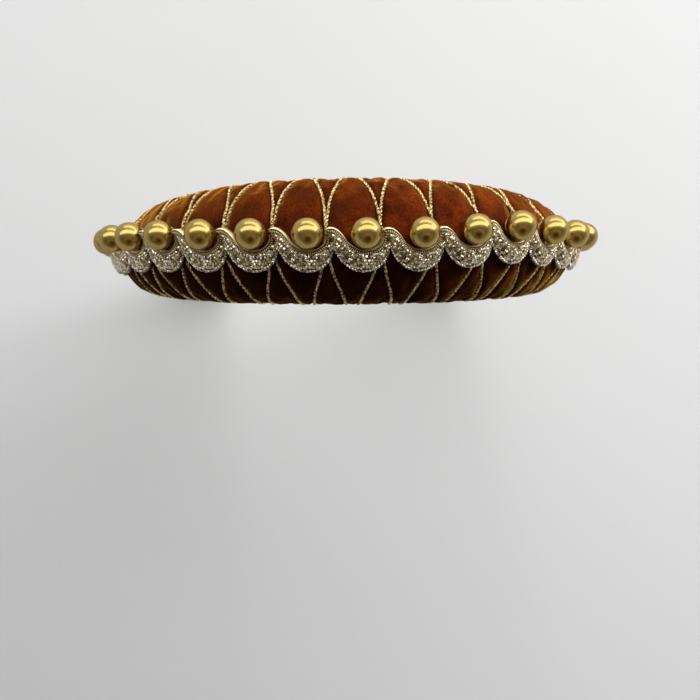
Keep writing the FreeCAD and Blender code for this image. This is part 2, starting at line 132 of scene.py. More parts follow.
def swell(length, crown, tip, fullness):
    """A size of the roll that falls from its crown to its tips."""
    reach = np.minimum(np.abs(length) / HALF_LENGTH, 1.0)
    return tip + (crown - tip) * np.cos(np.pi / 2 * reach ** fullness) ** 2


def roll_thickness(length):
    return swell(length, ROLL_THICKNESS, TIP_THICKNESS, THICKNESS_FULLNESS)


def roll_height(length):
    return swell(length, ROLL_HEIGHT, TIP_HEIGHT, HEIGHT_FULLNESS)


def half_sizes(length):
    """Half of the roll's thickness and of its height."""
    return roll_thickness(length) / 2, roll_height(length) / 2


def bell(distance, reach):
    """1 at nought, falling away over a reach."""
    return np.exp(-(distance / reach) ** 2)


def roll_point(length, angle, lift=0.0, scale=1.0):
    """Points round the roll, lift above its CAD surface; angle 0 faces away from the head."""
    length, angle, lift = np.broadcast_arrays(length, angle, lift)
    point, _, normal = curve_frame(length)
    half_out, half_tall = half_sizes(length)
    out, tall = half_tall * np.cos(angle), half_out * np.sin(angle)
    norm = np.hypot(out, tall)
    out = ROLL_STANDOFF + half_out + (half_out * np.cos(angle) + lift * out / norm) * scale
    tall = (half_tall * np.sin(angle) + lift * tall / norm) * scale
    across = np.array([0.0, 1.0, 0.0])
    return point + normal * out[..., None] + across * tall[..., None]


def roll_grid(half, rows, columns):
    """Lengths and angles of an even grid round the roll, as a column and a row."""
    return (np.linspace(-half, half, rows)[:, None],
            np.linspace(0, 2 * np.pi, columns, endpoint=False)[None, :])


def trim_table():
    """Links from the crown at each millimetre along the inner curve."""
    lengths = np.arange(0, HALF_LENGTH + 1, 1.0)
    point, _, normal = curve_frame(lengths)
    line = point + normal * (ROLL_STANDOFF + roll_thickness(lengths) + PEARL_STANDOFF)[:, None]
    return lengths, lengths_along(line) / LINK_PITCH


TABLE_LENGTHS, TABLE_LINKS = trim_table()


def place_of_link(link):
    """Length along the inner curve at a number of links from the crown."""
    return np.sign(link) * np.interp(np.abs(link), TABLE_LINKS, TABLE_LENGTHS)


def link_of_place(length):
    """Number of links from the crown at a length along the inner curve."""
    return np.sign(length) * np.interp(np.abs(length), TABLE_LENGTHS, TABLE_LINKS)


def trim_height(link):
    """Height of the pearls above the roll's middle, towards the back of the head."""
    reach = np.minimum(np.abs(link) / HALF_LINKS, 1.0)
    sides = TRIM_SIDE_RISE * np.sin(np.pi / 2 * reach) ** 2
    return TRIM_RISE + sides + WANDER_RISE * bell(link - WANDER_PLACE, WANDER_REACH)


def crossing_angle(link):
    """Angle round the roll at which the two cords cross beside the trim."""
    rise = 2 * (trim_height(link) + CROSSING_RISE) / roll_height(place_of_link(link))
    return np.arcsin(np.minimum(rise, HIGHEST_CROSSING))


# -------------------- shape of the velvet
def press(length, angle):
    """How far the velvet stands out to the trim and in to the lining."""
    link = link_of_place(length)
    tall = roll_height(length) / 2 * np.sin(angle)
    near_trim = bell(tall - trim_height(link) + TRIM_MIDDLE, TRIM_PRESS_REACH)
    near_lining = np.exp(-(tall / LINING_PRESS_REACH) ** 4)
    outer = 1 / (1 + np.exp(-OUTER_BLEND * np.cos(angle)))
    inner = 1 / (1 + np.exp(INNER_BLEND * (np.cos(angle) + INNER_FROM)))
    ends = np.clip((OPEN_LENGTH - np.abs(length)) / FADE, 0, 1)
    return (TRIM_PRESS * near_trim * outer + LINING_PRESS * near_lining * inner) * ends


def advance(turn):
    """Links that a cord has moved on at a number of turns, and its rate; it crosses at whole turns."""
    whole = np.round(turn)
    share = 2 * (turn - whole)
    reach = np.abs(share)
    bend = np.tanh((reach / WAIST) ** 3)
    moved = 0.5 * (EVEN_ADVANCE * reach + (1 - EVEN_ADVANCE) * bend)
    rate = EVEN_ADVANCE + (1 - EVEN_ADVANCE) * (1 - bend ** 2) * 3 * reach ** 2 / WAIST ** 3
    return whole + np.sign(share) * moved, rate


def local_sizes(length, angle):
    """Millimetres of the roll's surface for a radian round it and for a link along it."""
    half_out, half_tall = half_sizes(length)
    around = np.hypot(half_out * np.sin(angle), half_tall * np.cos(angle))
    radius = np.where(np.abs(length) > QUARTER, ARM_RADIUS, HEAD_RADIUS)
    out = ROLL_STANDOFF + half_out * (1 + np.cos(angle))
    link = link_of_place(length)
    pitch = (place_of_link(link + 0.25) - place_of_link(link - 0.25)) * 2
    return around, np.maximum(pitch, 1.0) * (1 + out / radius)


def cord_distances(length, angle):
    """Distance in mm from each point of the velvet to the nearest turn of each cord."""
    length, angle = np.broadcast_arrays(length, angle)
    link = link_of_place(length)
    around, along = local_sizes(length, angle)
    found = []
    for direction in (1, -1):
        part = direction * (angle - crossing_angle(link)) / (2 * np.pi)
        part = part - np.round(part)
        moved, rate = advance(part)
        whole = np.round(link - CROSSING_SHIFT - moved)
        off = np.abs(link - CROSSING_SHIFT - moved - whole) * along
        turn = whole + part
        reached = (turn > -TURNS_LEFT) & (turn < TURNS_RIGHT)
        slant = 2 * np.pi * around / np.hypot(2 * np.pi * around, along * rate)
        found.append(np.where(reached, off * slant, FAR))
    return found


def calm(length):
    """Fades to nothing inside the end covers."""
    return np.clip((OPEN_LENGTH + CALM_INSIDE - np.abs(length)) / CALM_REACH, 0, 1)


def groove(length, angle):
    """Depth to which the cords pull the velvet in."""
    near, far = cord_distances(length, angle)
    depth = bell(near, GROOVE_REACH) + bell(far, GROOVE_REACH)
    return GROOVE * np.minimum(depth, DEEPEST) * calm(length)


# -------------------- mesh tools
def place_object(name, data):
    """An object of the scene that shows a mesh, a lamp or a camera."""
    made = bpy.data.objects.new(name, data)
    bpy.context.scene.collection.objects.link(made)
    return made


def mesh_object(name, points, faces, smooth=True):
    """An object from points in millimetres, its faces turned outwards."""
    mesh = bpy.data.meshes.new(name)
    mesh.from_pydata((np.asarray(points) * MM).tolist(), [], [tuple(face) for face in faces])
    mesh.validate()
    shell = bmesh.new()
    shell.from_mesh(mesh)
    bmesh.ops.recalc_face_normals(shell, faces=shell.faces)
    shell.to_mesh(mesh)
    shell.free()
    mesh.polygons.foreach_set("use_smooth", [smooth] * len(mesh.polygons))
    mesh.update()
    return place_object(name, mesh)


def grid_faces(rows, columns, closed=True, start=0):
    """Quads of a grid of points; closed joins the last column to the first."""
    last = columns if closed else columns - 1
    i, j = np.meshgrid(np.arange(rows - 1), np.arange(last), indexing="ij")
    k = (j + 1) % columns
    quads = np.stack([i * columns + j, i * columns + k, (i + 1) * columns + k, (i + 1) * columns + j], -1)
    return (quads.reshape(-1, 4) + start).tolist()


def capped_faces(rows, columns):
    """Quads of a row of closed rings, and one face over each end."""
    last = range((rows - 1) * columns, rows * columns)
    return grid_faces(rows, columns) + [list(range(columns)), list(last)[::-1]]


def tube_object(name, grid):
    """Closed object from a grid of rings (rings, points round, 3), with a cap at each end."""
    rings, around = grid.shape[:2]
    faces = grid_faces(rings, around)
    count = rings * around
    for j in range(around):
        k = (j + 1) % around
        faces += [[count, k, j], [count + 1, count - around + j, count - around + k]]
    return mesh_object(name, np.vstack([grid.reshape(-1, 3), grid[0].mean(0), grid[-1].mean(0)]), faces)


def paint(made, name, values):
    """Give each point of a mesh a number that its material reads."""
    attribute = made.data.attributes.new(name, "FLOAT", "POINT")
    attribute.data.foreach_set("value", np.asarray(values, np.float32))


def merged(parts):
    """One list of points and faces from several."""
    points, faces, start = [], [], 0
    for part_points, part_faces in parts:
        points.append(np.asarray(part_points))
        faces += [[i + start for i in face] for face in part_faces]
        start += len(part_points)
    return np.vstack(points), faces


def unit(vectors):
    """Vectors of length 1."""
    return vectors / np.linalg.norm(vectors, axis=-1, keepdims=True)


def path_frame(path, normals):
    """Normals made square to a path, and the directions across it."""
    tangent = unit(np.gradient(path, axis=0))
    normal = unit(normals - (normals * tangent).sum(1)[:, None] * tangent)
    return normal, np.cross(tangent, normal)


def sweep(path, normals, radius, sides):
    """Points and faces of a round tube along a path."""
    normal, across = path_frame(path, normals)
    turn = (np.arange(sides) * 2 * np.pi / sides)[None, :, None]
    ring = normal[:, None] * np.cos(turn) + across[:, None] * np.sin(turn)
    return (path[:, None] + ring * radius).reshape(-1, 3), capped_faces(len(path), sides)


def smooth_between(a, b, c, d, t):
    """Point at the share t of a smooth line from b to c, with a before them and d after."""
    return 0.5 * (2 * b + (c - a) * t + (2 * a - 5 * b + 4 * c - d) * t ** 2
                  + (3 * b - a - 3 * c + d) * t ** 3)


def circle(count, radius, height=0.0, offset=0.0):
    """Points round the z axis; offset is a share of the step between them."""
    turn = 2 * np.pi * (np.arange(count) + offset) / count
    return np.stack([radius * np.cos(turn), radius * np.sin(turn), np.full(count, height)], 1)


def ball(centre, radii, axes, rings, around):
    """Points and faces of a small rounded bead."""
    polar = np.arange(1, rings) * np.pi / rings
    belts = [circle(around, math.sin(angle), math.cos(angle)) for angle in polar]
    points = np.vstack([[0, 0, 1], *belts, [0, 0, -1]])
    faces = [[0, 1 + j, 1 + (j + 1) % around] for j in range(around)]
    faces += [[a + 1 for a in quad] for quad in grid_faces(rings - 1, around)]
    last, base = len(points) - 1, 1 + (rings - 2) * around
    faces += [[last, base + (j + 1) % around, base + j] for j in range(around)]
    return points * radii @ axes + centre, faces


# -------------------- materials
class Graph:
    """The shader nodes of a material or a world."""

    def __init__(self, owner):
        owner.use_nodes = True
        self.nodes, self.links = owner.node_tree.nodes, owner.node_tree.links

    def feed(self, socket, value):
        """Link a socket to another node's output, or set its value."""
        if isinstance(value, bpy.types.NodeSocket):
            self.links.new(value, socket)
        else:
            socket.default_value = value

    def add(self, kind, **inputs):
        node = self.nodes.new(kind)
        for name, value in inputs.items():
            self.feed(node.inputs[name.replace("_", " ")], value)
        return node

    def ramp(self, factor, stops):
        node = self.add("ShaderNodeValToRGB", Fac=factor)
        elements = node.color_ramp.elements
        while len(elements) < len(stops):
            elements.new(0.5)
        for element, (position, colour) in zip(elements, stops):
            element.position = position
            element.color = (*colour, 1)
        return node.outputs["Color"]

    def mix(self, factor, first, second, kind="MIX"):
        """Mix of two colours, each an output or a tuple."""
        node = self.nodes.new("ShaderNodeMix")
        node.data_type, node.blend_type = "RGBA", kind
        for name, value in (("Factor_Float", factor), ("A_Color", first), ("B_Color", second)):
            socket = next(s for s in node.inputs if s.identifier == name)
            self.feed(socket, (*value, 1) if isinstance(value, tuple) else value)
        return next(s for s in node.outputs if s.identifier == "Result_Color")

    def blend(self, factor, first, second):
        """Mix of two shaders."""
        node = self.add("ShaderNodeMixShader", Fac=factor)
        self.links.new(first, node.inputs[1])
        self.links.new(second, node.inputs[2])
        return node.outputs["Shader"]

    def maths(self, operation, *values, kind="ShaderNodeMath", result="Value"):
        node = self.nodes.new(kind)
        node.operation = operation
        for socket, value in zip(node.inputs, values):
            self.feed(socket, value)
        return node.outputs[result]

    def vector(self, operation, *values, result="Vector"):
        return self.maths(operation, *values, kind="ShaderNodeVectorMath", result=result)

    def shown_rays(self):
        """1 for the rays that show the background: camera, glossy and transmission rays."""
        rays = self.nodes.new("ShaderNodeLightPath").outputs
        seen = self.maths("MAXIMUM", rays["Is Camera Ray"], rays["Is Glossy Ray"])
        return self.maths("MAXIMUM", seen, rays["Is Transmission Ray"])


class Look(Graph):
    """A procedural material in object coordinates, in metres."""

    def __init__(self, name, colour, roughness, metallic=0.0, **sockets):
        self.material = bpy.data.materials.new(name)
        super().__init__(self.material)
        self.shader = self.nodes["Principled BSDF"]
        sockets.update(Base_Color=(*colour, 1), Roughness=roughness, Metallic=metallic)
        for socket, value in sockets.items():
            self.shader.inputs[socket.replace("_", " ")].default_value = value
        self.place = self.nodes.new("ShaderNodeTexCoord").outputs["Object"]

    def noise(self, scale, detail, roughness=0.5):
        node = self.add("ShaderNodeTexNoise", Vector=self.place, Scale=scale, Detail=detail,
                        Roughness=roughness)
        return node.outputs["Fac"]

    def colour(self, output):
        self.links.new(output, self.shader.inputs["Base Color"])

    def rough(self, output, low, high):
        node = self.add("ShaderNodeMapRange", Value=output, To_Min=low, To_Max=high)
        self.links.new(node.outputs["Result"], self.shader.inputs["Roughness"])

    def bump(self, height, strength, depth):
        """Bump of a real depth in millimetres, over any bump that is there already."""
        node = self.add("ShaderNodeBump", Height=height, Strength=strength, Distance=depth * MM)
        socket = self.shader.inputs["Normal"]
        if socket.is_linked:
            self.links.new(socket.links[0].from_socket, node.inputs["Normal"])
        self.links.new(node.outputs["Normal"], socket)

    def attribute(self, name):
        node = self.nodes.new("ShaderNodeAttribute")
        node.attribute_name = name
        return node.outputs["Fac"]


def velvet_look(name, colour, dark, sheen):
    """Pile fabric: dark face on, bright at a grazing view, with brushed patches."""
    look = Look(name, colour, 0.95, Sheen_Weight=1.0, Sheen_Roughness=0.32, Sheen_Tint=(*sheen, 1),
                Specular_IOR_Level=0.05)
    brushed = look.noise(95.0, 4.0, 0.55)
    grain = look.noise(1300.0, 3.0, 0.75)
    tone = look.ramp(brushed, [(0.3, dark), (0.7, colour)])
    tone = look.mix(0.75, tone, look.ramp(grain, [(0.36, (0.3,) * 3), (0.64, (1.7,) * 3)]), "MULTIPLY")
    # darker beside the cords: crushed pile, and painted shade in the cord grooves
    look.colour(look.mix(look.attribute("crush_and_groove_shade"), tone, tuple(c * 0.45 for c in dark)))
    look.bump(look.noise(300.0, 3.0, 0.6), 0.4, 0.3)
    look.bump(grain, 0.9, 0.2)
    return look.material


def gold_look(name, pale, yellow, stain_and_shade):
    """Plated casting: pale where it is polished, yellow on its grains, dark with stain and painted shade in
    its recesses.
    """
    look = Look(name, pale, 0.2, 0.6)
    # low values paint shade into the recesses: the stone bed, the rib channel and the bar under the pearl
    polish_and_shade = look.ramp(look.attribute("polish_and_shade"), [(0.0, stain_and_shade), (0.75, yellow), (1.0, pale)])
    cloud = look.ramp(look.noise(600.0, 3.0), [(0.3, (0.7, 0.66, 0.6)), (0.6, (1.0, 1.0, 1.0))])
    look.colour(look.mix(1.0, polish_and_shade, cloud, "MULTIPLY"))
    look.rough(look.attribute("polish_and_shade"), 0.3, 0.34)
    look.bump(look.noise(2200.0, 2.0), 0.3, 0.03)
    return look.material


def thread_look(name, colour, dark, bright):
    """Foil wound on yarn: fine ridges, and glints and dark flecks painted at random into its colour."""
    look = Look(name, colour, 0.28, 0.8)
    glint = look.noise(1000.0, 2.0, 0.8)
    # painted glints and painted dark flecks, placed at random
    look.colour(look.ramp(glint, [(0.42, dark), (0.5, colour), (0.62, bright)]))
    look.rough(look.noise(1900.0, 1.0), 0.16, 0.5)
    look.bump(look.noise(2600.0, 2.0, 0.7), 0.8, 0.1)
    return look.material


def pearl_look(name):
    """Coated bead: a coloured lustre under a clear coat, with faint clouding."""
    look = Look(name, (0.5, 0.36, 0.06), 0.2, 0.95, Coat_Weight=0.4, Coat_Roughness=0.16, Coat_IOR=2.5,
                Specular_Tint=(0.36, 0.22, 0.07, 1))
    cloud = look.noise(160.0, 3.0)
    look.colour(look.ramp(cloud, [(0.3, (0.43, 0.295, 0.036)), (0.7, (0.51, 0.355, 0.055))]))
    look.rough(look.noise(900.0, 2.0), 0.19, 0.27)
    look.bump(look.noise(1300.0, 2.0), 0.12, 0.01)
    return look.material


CELL_TILT = 1.2  # how far apart the normals of a stone's cells point


def stone_look(name):
    """Foiled crystal: the cut splits what it mirrors into light and dark cells, and each cell's colour
    paints a sparkle or a dark reflection on it.
    """
    look = Look(name, (0.72, 0.7, 0.66), 0.1, 0.9, Coat_Weight=0.5, Coat_Roughness=0.03, Coat_IOR=1.8)
    cells = look.add("ShaderNodeTexVoronoi", Vector=look.place, Scale=900.0).outputs["Color"]
    level = look.add("ShaderNodeSeparateXYZ", Vector=cells).outputs["Z"]
    # painted reflections: the cells' colours run from near black to warm white
    look.colour(look.ramp(level, [(0.0, (0.05, 0.032, 0.012)), (0.16, (0.36, 0.26, 0.12)),
                                  (0.28, (1.0, 0.87, 0.57)), (0.48, (1.0, 0.95, 0.8))]))
    # each cell mirrors its own part of the room
    tilt = look.vector("MULTIPLY_ADD", cells, (CELL_TILT,) * 3, (-CELL_TILT / 2,) * 3)
    turned = look.vector("ADD", tilt, look.nodes.new("ShaderNodeNewGeometry").outputs["Normal"])
    look.links.new(look.vector("NORMALIZE", turned), look.shader.inputs["Normal"])
    return look.material


def ribbon_look(name, colour, dark):
    """Matt thread or fibre."""
    look = Look(name, colour, 0.7, Sheen_Weight=0.25, Sheen_Roughness=0.4)
    fibre = look.noise(2400.0, 2.0, 0.7)
    look.colour(look.mix(0.6, colour, look.ramp(fibre, [(0.35, dark), (0.65, colour)])))
    look.rough(fibre, 0.5, 0.85)
    look.bump(fibre, 0.5, 0.08)
    return look.material


velvet = velvet_look("rust_velvet", (0.1, 0.0135, 0.0007), (0.032, 0.0036, 0.0002), (1.0, 0.5, 0.06))
gold = gold_look("champagne_gold", (1.0, 0.84, 0.49), (1.0, 0.79, 0.33), (0.11, 0.064, 0.018))
cord_gold = thread_look("gold_foil_cord", (1.0, 0.72, 0.27), (0.13, 0.062, 0.013), (1.0, 0.89, 0.5))
pearl_gold = pearl_look("olive_gold_pearl")
crystal = stone_look("clear_crystal")
ribbon_brown = ribbon_look("brown_grosgrain", (0.07, 0.032, 0.014), (0.03, 0.013, 0.006))
cover_brown = velvet_look("end_cover_velvet", (0.05, 0.012, 0.002), (0.028, 0.006, 0.001), (0.5, 0.17, 0.03))
thread_brown = ribbon_look("brown_thread", (0.09, 0.045, 0.02), (0.04, 0.02, 0.01))
wadding_white = ribbon_look("polyester_wadding", (0.75, 0.74, 0.7), (0.6, 0.58, 0.54))
core_grey = ribbon_look("sprung_plastic", (0.05, 0.05, 0.055), (0.03, 0.03, 0.03))


def dress(piece, slot, material, *stands_for):
    """Give a finished piece its material and its body, and hide the CAD nodes that it stands for."""
    piece.data.materials.clear()
    piece.data.materials.append(material)
    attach(piece, "root")
    if stands_for:
        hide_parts(*stands_for)


# -------------------- velvet roll and padding
CLOTH_SCALE = 10.0  # the cover is simulated at ten times its size, where the solver is steady
CLOTH_FRAMES = 20
CLOTH_GRID = (250, 84)
CLOTH_PRESSURE = 3.5
CLOTH_CAP = 1.7  # furthest that the cover moves
HELD_REACH = 1.0  # the cover is held this near to a cord
VELVET_GRID = (661, 160)
CRUSH_AND_SHADE_REACH = 1.3  # pile crushed and shade painted beside a cord
WADDING_MARGIN, WADDING_DEPTH = 4.0, 2.6
WADDING_GRID = (200, 48)


def settle(points, faces, held):
    """Cloth simulation of a closed padded cover; the points where it comes to rest, in mm."""
    cover = mesh_object("cover_blank", points * CLOTH_SCALE, faces)
    group = cover.vertex_groups.new(name="held")
    for index in np.nonzero(held > 0.01)[0]:
        group.add([int(index)], float(held[index]), "REPLACE")
    cloth = cover.modifiers.new("cloth", "CLOTH")
    cloth.settings.vertex_group_mass = "held"
    cloth.settings.mass = 0.02
    cloth.settings.use_pressure = True
    cloth.settings.uniform_pressure_force = CLOTH_PRESSURE
    cloth.settings.effector_weights.gravity = 0.0
    cloth.settings.bending_stiffness = 0.3
    cloth.settings.shrink_min = -0.02
    cloth.collision_settings.use_collision = False
    scene = bpy.context.scene
    for moment in range(1, CLOTH_FRAMES + 1):
        scene.frame_set(moment)
    rested = cover.evaluated_get(bpy.context.evaluated_depsgraph_get()).data
    settled = np.empty(len(rested.vertices) * 3, np.float32)
    rested.vertices.foreach_get("co", settled)
    scene.frame_set(1)
    bpy.data.objects.remove(cover)
    return settled.reshape(-1, 3) / (MM * CLOTH_SCALE)


def padded_cover():
    """Displacement of the velvet, on a coarse grid, once its padding swells between the cords."""
    rows, columns = CLOTH_GRID
    lengths, angles = roll_grid(HALF_LENGTH, rows, columns)
    start = roll_point(lengths, angles, press(lengths, angles))
    near, far = cord_distances(lengths, angles)
    held = bell(np.minimum(near, far), HELD_REACH)
    held = np.maximum(held, np.abs(lengths) > OPEN_LENGTH)
    settled = settle(start.reshape(-1, 3), capped_faces(rows, columns), held.ravel())
    moved = settled.reshape(rows, columns, 3) - start
    travel = np.linalg.norm(moved, axis=-1, keepdims=True)
    return moved * np.minimum(1.0, CLOTH_CAP / np.maximum(travel, 1e-6))


def finer(field, count, axis, closed):
    """Smooth resampling of a grid of vectors along one axis."""
    field = np.moveaxis(field, axis, 0)
    size = len(field)
    place = np.arange(count) * (size / count if closed else (size - 1) / (count - 1))
    first = np.floor(place).astype(int)
    t = (place - first)[:, None, None]
    around = (field[(first + step) % size if closed else np.clip(first + step, 0, size - 1)]
              for step in (-1, 0, 1, 2))
    found = smooth_between(*around, t)
    return np.moveaxis(found, 0, axis)


def build_velvet():
    """The padded cover at full detail, with its cord grooves, and crushed pile darkened with painted shade
    along them.
    """
    rows, columns = VELVET_GRID
    lengths, angles = roll_grid(HALF_LENGTH, rows, columns)
    near, far = cord_distances(lengths, angles)
    points = roll_point(lengths, angles, press(lengths, angles) - groove(lengths, angles))
    points = points + finer(finer(padded_cover(), rows, 0, False), columns, 1, True)
    made = tube_object("velvet_roll", points)
    # share of crushed pile and painted groove shade beside the cords
    crush_and_groove_shade = bell(np.minimum(near, far), CRUSH_AND_SHADE_REACH).ravel()
    paint(made, "crush_and_groove_shade", np.append(crush_and_groove_shade, [0, 0]))
    dress(made, "velvet", velvet, "velvet_cover")


def build_wadding():
    """The padding under the velvet, shorter than it and clear of its grooves."""
    lengths, angles = roll_grid(HALF_LENGTH - WADDING_MARGIN, *WADDING_GRID)
    made = tube_object("wadding", roll_point(lengths, angles, press(lengths, angles) - WADDING_DEPTH))
    dress(made, "wadding", wadding_white, "foam_roll")


build_velvet()
build_wadding()
core_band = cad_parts["core_band"]
core_band.data.materials.clear()
core_band.data.materials.append(core_grey)


# -------------------- laced cords
CORD_STRANDS, CORD_LAY = 2, 3.5
STRAND_OFFSET, STRAND_RADIUS, STRAND_SIDES = 0.34, 0.37, 7
CORD_STEPS = 330  # points for each turn round the roll
CORD_SEAT = 0.38  # share of its thickness by which a cord's middle clears its groove


def cord_line(direction, over):
    """Centre line and outward normals of one cord, pressed into the velvet."""
    turns = TURNS_LEFT + TURNS_RIGHT
    turn = np.linspace(0, turns, turns * CORD_STEPS + 1) - TURNS_LEFT
    moved, _ = advance(turn)
    link = moved + CROSSING_SHIFT
    length = place_of_link(link)
    angle = crossing_angle(link) + direction * 2 * np.pi * turn
    _, along = local_sizes(length, angle)
    beside = np.abs(2 * moved - np.round(2 * moved)) * along
    stack = np.sqrt(np.maximum(STACK ** 2 - beside ** 2, 0))
    share = UPPER_SHARE if over else UPPER_SHARE - 1
    lift = press(length, angle) - GROOVE + CORD_SEAT * CORD + share * stack
    path = roll_point(length, angle, lift)
    outward = roll_point(length, angle, lift + 1.0) - path
    return path, outward


def build_cord(name, direction, over):
    """Two foil wound yarns twisted together."""
    path, normals = cord_line(direction, over)
    outward, across = path_frame(path, normals)
    twist = 2 * np.pi * lengths_along(path) / CORD_LAY
    parts = []
    for strand in range(CORD_STRANDS):
        turn = twist + 2 * np.pi * strand / CORD_STRANDS
        spoke = outward * np.cos(turn)[:, None] + across * np.sin(turn)[:, None]
        parts.append(sweep(path + spoke * STRAND_OFFSET, spoke, STRAND_RADIUS, STRAND_SIDES))
    made = mesh_object(name + "_twist", *merged(parts))
    dress(made, "gold_cord", cord_gold, name)


build_cord("cord_wrap_clockwise", 1, over=False)
build_cord("cord_wrap_anticlockwise", -1, over=True)


# -------------------- one link of the trim
# the two edges of a crescent, from its tail to its horn; the pearl is over the origin
UPPER_EDGE = [(-15.3, 1.1), (-14.3, 1.85), (-12.9, 2.0), (-11.4, 1.55), (-9.8, 0.4), (-8.3, -1.3),
              (-6.9, -3.4), (-5.2, -4.8), (-3.1, -6.0), (-0.6, -6.6), (1.9, -6.4), (4.2, -5.4),
              (5.9, -3.7), (6.6, -2.1), (6.6, -0.6)]
LOWER_EDGE = [(-15.2, 0.7), (-14.2, -1.0), (-13.3, -2.7), (-12.4, -4.8), (-11.5, -6.9), (-10.2, -9.5),
              (-8.2, -11.8), (-5.6, -13.9), (-2.4, -15.0), (1.0, -15.1), (4.2, -14.1), (6.9, -12.0),
              (8.6, -9.1), (9.3, -6.3), (9.0, -3.9), (8.3, -2.0), (7.3, -0.4)]
RIM_TOP = 3.9
# distance in from the upper edge and drop below the rim's top, then below the stone bed
RIM_PROFILE = [(0.0, 0.6), (0.0, 0.36), (0.03, 0.24), (0.1, 0.17), (0.23, 0.1), (0.36, 0.04),
               (0.44, 0.03), (0.49, 0.1), (0.5, 0.3)]
RIB_CHANNEL = [(0.53, 0.6), (0.76, 0.65), (0.82, 0.1)]
# distance in from the lower edge, rise above the bed, and polish, where low values are painted shade
BORDER_PROFILE = [(0.3, 0.22, 0.1), (0.08, 0.2, 0.3), (0.0, 0.0, 0.1)]
BED_ROWS = 12
RIB_START, RIB_END = 0.8, 2.1
RIB_PITCH, RIB_HALF_WIDTH, RIB_HEIGHT, RIB_LIFT = 0.75, 0.2175, 0.4, 0.06
RIB_MARGINS = (0.8, 0.5)  # bare length of the upper edge before the first rib and after the last
BED_TOP, BED_FALL, BED_SKEW = 2.9, 1.3, 0.85
BED_BULGE, BED_BULGE_RATE = 0.45, 0.13
PAVE_START = 2.1
BORDER = 0.12
FULL_WIDTH = 3.4  # a crescent narrower than this has narrower mouldings
STONE_RADIUS, STONE_CROWN, STONE_LIFT, STONE_TILT = 0.64, 0.22, 0.02, 0.34
FIRST_ROW, LAST_ROW = 0.5, 0.42
STONE_ROWS, STONE_SPACING, ROW_WANDER = 1.12, 1.22, 0.16
STONE_MARGIN_ABOVE, STONE_MARGIN_BELOW = 0.3, 0.4
GRAIN_RADIUS, GRAIN_SPACING, GRAIN_CLEARANCE, GRAIN_MARGIN = 0.2, 0.52, 0.71, 0.3
SEAT_PROFILE = [(2.4, 0.0), (3.2, 0.0), (3.4, 0.3), (3.3, 0.7), (3.1, 0.8), (2.7, 0.5)]
BAR_START, BAR_END, BAR_RADIUS = -3.6, -8.4, 0.4


def smooth_line(knots, count):
    """Points evenly spaced on a smooth line through a row of points."""
    knots = np.array(knots, float)
    padded = np.vstack([2 * knots[0] - knots[1], knots, 2 * knots[-1] - knots[-2]])
    fine = []
    for i in range(len(knots) - 1):
        a, b, c, d = padded[i:i + 4]
        t = np.linspace(0, 1, 40, endpoint=False)[:, None]
        fine.append(smooth_between(a, b, c, d, t))
    fine = np.vstack(fine + [knots[-1:]])
    run = lengths_along(fine)
    even = np.linspace(0, run[-1], count)
    return np.stack([np.interp(even, run, fine[:, k]) for k in (0, 1)], 1)


STATIONS = 240
upper_line = smooth_line(UPPER_EDGE, STATIONS)
lower_line = smooth_line(LOWER_EDGE, STATIONS)


def dome(share, width):
    """Height of the stone bed across a crescent; share 0 is its upper edge."""
    bulge = np.sin(np.pi * np.clip(share, 0, 1) ** BED_SKEW)
    return BED_TOP - BED_FALL * share + (BED_BULGE + BED_BULGE_RATE * width) * bulge


def link_surface(station, distance):
    """Point on the face of a crescent, distance in mm in from its upper edge."""
    start, end = (np.stack([np.interp(station, np.arange(STATIONS), line[:, k]) for k in (0, 1)], -1)
                  for line in (upper_line, lower_line))
    width = np.maximum(np.linalg.norm(end - start, axis=-1), 1e-6)
    share = np.clip(distance / width, 0, 1)
    flat = start + (end - start) * share[..., None]
    return np.concatenate([flat, dome(share, width)[..., None]], -1), width


def link_casting():
    """Closed casting, and its polish and painted shade: rim wire, channel of the ribs, domed bed and border.
    """
    stations = np.arange(STATIONS)
    _, width = link_surface(stations, np.zeros(STATIONS))
    squeeze = np.clip(width / FULL_WIDTH, 0.12, 1.0)

    def row(distance, rise=0.0):
        point, _ = link_surface(stations, distance)
        point[:, 2] += rise
        return point

    rim = [row(distance * squeeze) for distance, _ in RIM_PROFILE]
    for point, (_, drop) in zip(rim, RIM_PROFILE):
        point[:, 2] = RIM_TOP - drop
    channel = [row(distance * squeeze, -drop) for distance, drop in RIB_CHANNEL]
    start, end = PAVE_START * squeeze, width - BORDER * squeeze
    bed = [row(start + (end - start) * share) for share in np.linspace(0, 1, BED_ROWS)]
    border = [row(width - back * squeeze, rise) for back, rise, _ in BORDER_PROFILE]
    first, last = rim[0].copy(), border[-1].copy()
    first[:, 2] = last[:, 2] = 0.0
    grid = np.stack([first, *rim, *channel, *bed, *border, last], 1)
    border_polish_and_shade = [polish_and_shade for _, _, polish_and_shade in BORDER_PROFILE]
    # rim polished pale; channel, stone bed and back dark with painted shade
    polish_and_shade = [0.0] + [1.0] * len(rim) + [0.0] * len(channel + bed) + border_polish_and_shade + [0.0]
    return grid.reshape(-1, 3), capped_faces(STATIONS, grid.shape[1]), np.tile(polish_and_shade, STATIONS)


def surface_frame(station, distance):
    """Point and axes (along, across, outward) on the face of a crescent."""
    here, width = link_surface(station, distance)
    along = link_surface(station + 0.5, distance)[0] - here
    across = link_surface(station, min(distance + 0.1, width))[0] - here
    normal = unit(np.cross(across, along))
    if normal[2] < 0:
        normal = -normal
    along = unit(along)
    return here, np.stack([along, np.cross(normal, along), normal])


def with_polish_and_shade(part, polish_and_shade):
    """A part with one value of polish and painted shade for all its points."""
    return part[0], part[1], np.full(len(part[0]), polish_and_shade)


